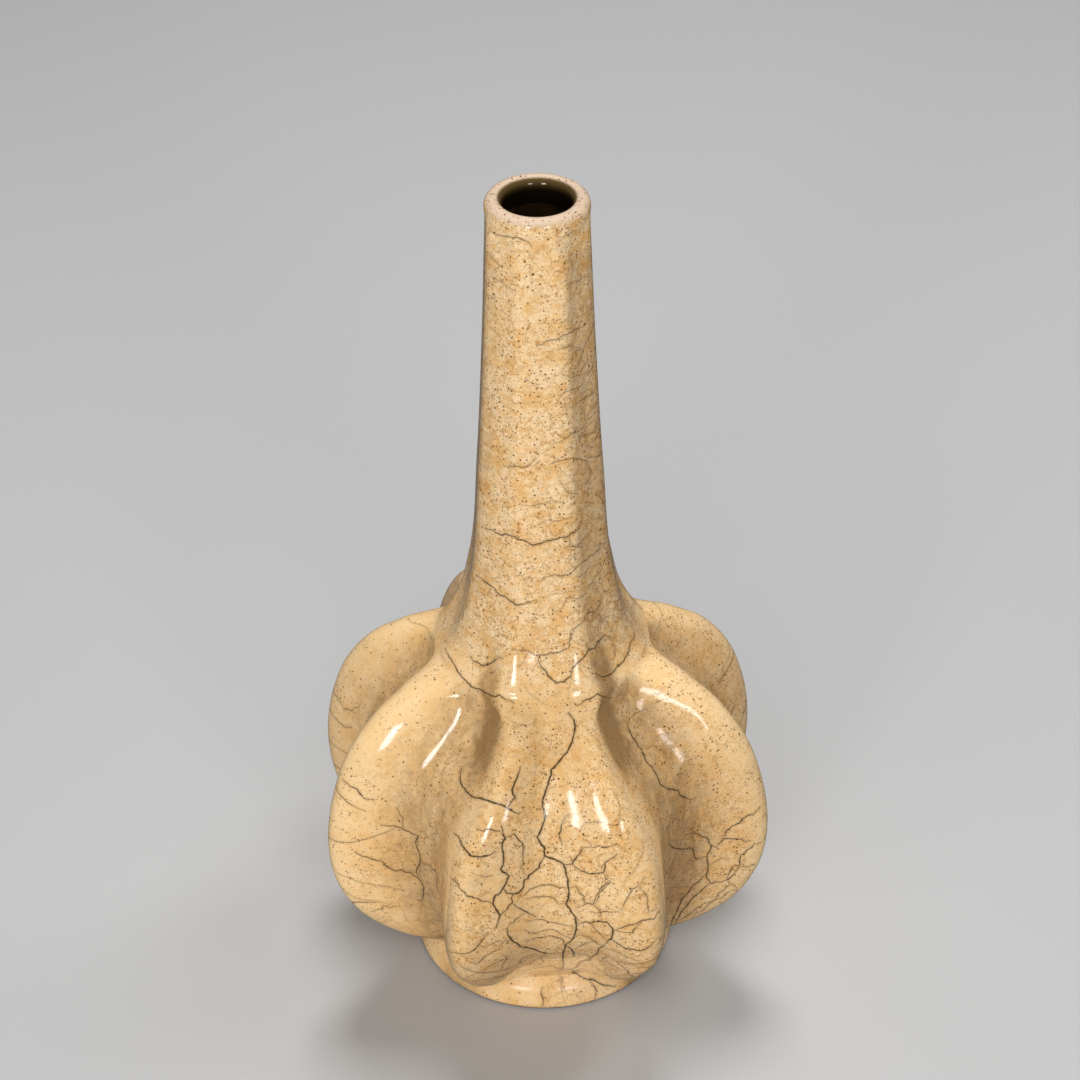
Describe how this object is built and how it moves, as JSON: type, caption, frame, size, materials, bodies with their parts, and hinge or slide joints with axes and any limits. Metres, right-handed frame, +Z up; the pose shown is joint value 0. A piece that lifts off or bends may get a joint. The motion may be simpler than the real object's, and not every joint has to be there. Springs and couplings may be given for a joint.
{
  "type": "lobed ceramic bottle",
  "caption": "Crackle-glazed stoneware bottle with a lobed bulbous body, tall softly faceted neck, rolled lip and splayed foot ring.",
  "frame": {"origin": "centre of the foot's resting face, on the bottle's axis", "axes": "+Z up along the bottle's axis; -Y is the fuller front panel, between two ridges, that faces the viewer"},
  "size_m": [0.1248, 0.1254, 0.25],
  "materials": {
    "glaze": "glossy warm cream glaze with dark crackle and iron specks",
    "thin_glaze": "glossy glaze worn thin and pinkish over the lip",
    "foot": "glazed slope above a bare dark reddish brown resting edge"
  },
  "bodies": {
    "root": {"foot_ring": "foot", "base_floor": "glaze", "lower_body": "glaze", "upper_body": "glaze", "shoulder_collar": "glaze", "neck_lower": "glaze", "neck_upper": "glaze", "mouth_rim": "thin_glaze"}
  },
  "joints": []
}
